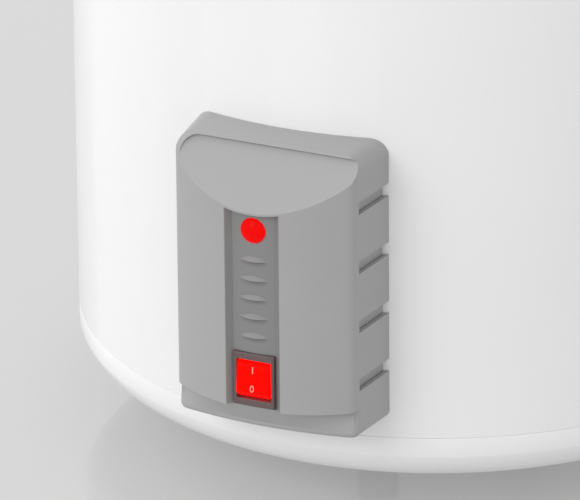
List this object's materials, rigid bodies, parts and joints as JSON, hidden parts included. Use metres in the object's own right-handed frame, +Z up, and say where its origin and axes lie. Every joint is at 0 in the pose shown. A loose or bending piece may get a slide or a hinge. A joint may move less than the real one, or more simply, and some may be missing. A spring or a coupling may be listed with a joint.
{
  "type": "storage water heater",
  "caption": "Upright wall-hung electric storage water heater with a round insulated tank and a control cover low on the front that holds a rocker switch and a lamp.",
  "frame": {"origin": "middle of the wall bracket's two bolt holes, on the wall plane", "axes": "+Z up, -Y out of the wall towards the control cover, +X to the right as seen from the front"},
  "size_m": [0.39, 0.4574, 0.73],
  "materials": {
    "jacket_paint": "smooth white enamel paint",
    "cap_plastic": "smooth white moulded plastic",
    "foam": "rigid foam",
    "vessel_steel": "enamelled steel",
    "zinc_steel": "zinc plated",
    "element_sheath": "bright sheath tube",
    "magnesium": "cast, dull",
    "gasket_rubber": "matt black",
    "ceramic": "glazed ceramic",
    "brass": "bright",
    "inner_plastic": "moulded black",
    "pale_plastic": "moulded natural",
    "reset_plastic": "moulded red",
    "cover_plastic": "fine satin grey",
    "bezel_plastic": "dark grey",
    "rocker_red": "lit red",
    "lamp_red": "lit red",
    "wire_brown": "insulated wire",
    "wire_blue": "insulated wire",
    "wire_green": "insulated wire",
    "cold_blue": "moulded blue",
    "hot_red": "moulded red",
    "gland_plastic": "moulded light grey",
    "bracket_paint": "white paint"
  },
  "bodies": {
    "heater": {"outer_jacket": "jacket_paint", "top_cap": "cap_plastic", "bottom_cap": "cap_plastic", "foam_insulation": "foam", "tank_shell": "vessel_steel", "tank_upper_head": "vessel_steel", "tank_lower_head": "vessel_steel", "cold_inlet": "zinc_steel", "hot_outlet": "zinc_steel", "cold_diffuser": "pale_plastic", "hot_standpipe": "zinc_steel", "cold_collar": "cold_blue", "hot_collar": "hot_red", "flange_neck": "vessel_steel", "flange_studs": "zinc_steel", "flange_gasket": "gasket_rubber", "flange_plate": "zinc_steel", "flange_nuts": "zinc_steel", "heating_element": "element_sheath", "element_insulators": "ceramic", "element_tabs": "zinc_steel", "thermostat_pocket": "element_sheath", "magnesium_anode": "magnesium", "anode_nut": "brass", "earth_stud": "brass", "earth_nuts": "brass", "thermostat_body": "inner_plastic", "thermostat_stem": "element_sheath", "thermostat_tabs": "brass", "control_cover": "cover_plastic", "cover_screws": "zinc_steel", "cover_bracket": "zinc_steel", "bracket_rivets": "zinc_steel", "terminal_block": "pale_plastic", "terminal_screws": "brass", "switch_body": "bezel_plastic", "switch_tabs": "brass", "lamp_lens": "lamp_red", "lamp_body": "inner_plastic", "lamp_nut": "inner_plastic", "wires_live": "wire_brown", "wires_neutral": "wire_blue", "wires_element": "wire_brown", "wire_earth": "wire_green", "gland_body": "gland_plastic", "gland_seal": "gasket_rubber", "gland_nut": "gland_plastic", "gland_locknut": "gland_plastic", "cable_conduit": "pale_plastic", "wall_bracket": "bracket_paint", "rear_spacer": "cap_plastic"},
    "rocker": {"switch_rocker": "rocker_red"},
    "spindle": {"thermostat_spindle": "pale_plastic"},
    "reset": {"reset_button": "reset_plastic"}
  },
  "joints": [
    {"name": "rocker_tilt", "type": "hinge", "parent": "heater", "child": "rocker", "pos_m": [0, -0.4468, -0.4467], "axis": [1, 0, 0], "range_deg": [0, 13]},
    {"name": "spindle_turn", "type": "hinge", "parent": "heater", "child": "spindle", "pos_m": [0.01, -0.431, -0.37], "axis": [0, 1, 0], "range_deg": [0, 240]},
    {"name": "reset_press", "type": "slide", "parent": "heater", "child": "reset", "axis": [0, 1, 0], "range_m": [0, 0.002], "stiffness_N_per_m": 600, "springref_m": -0.001}
  ]
}
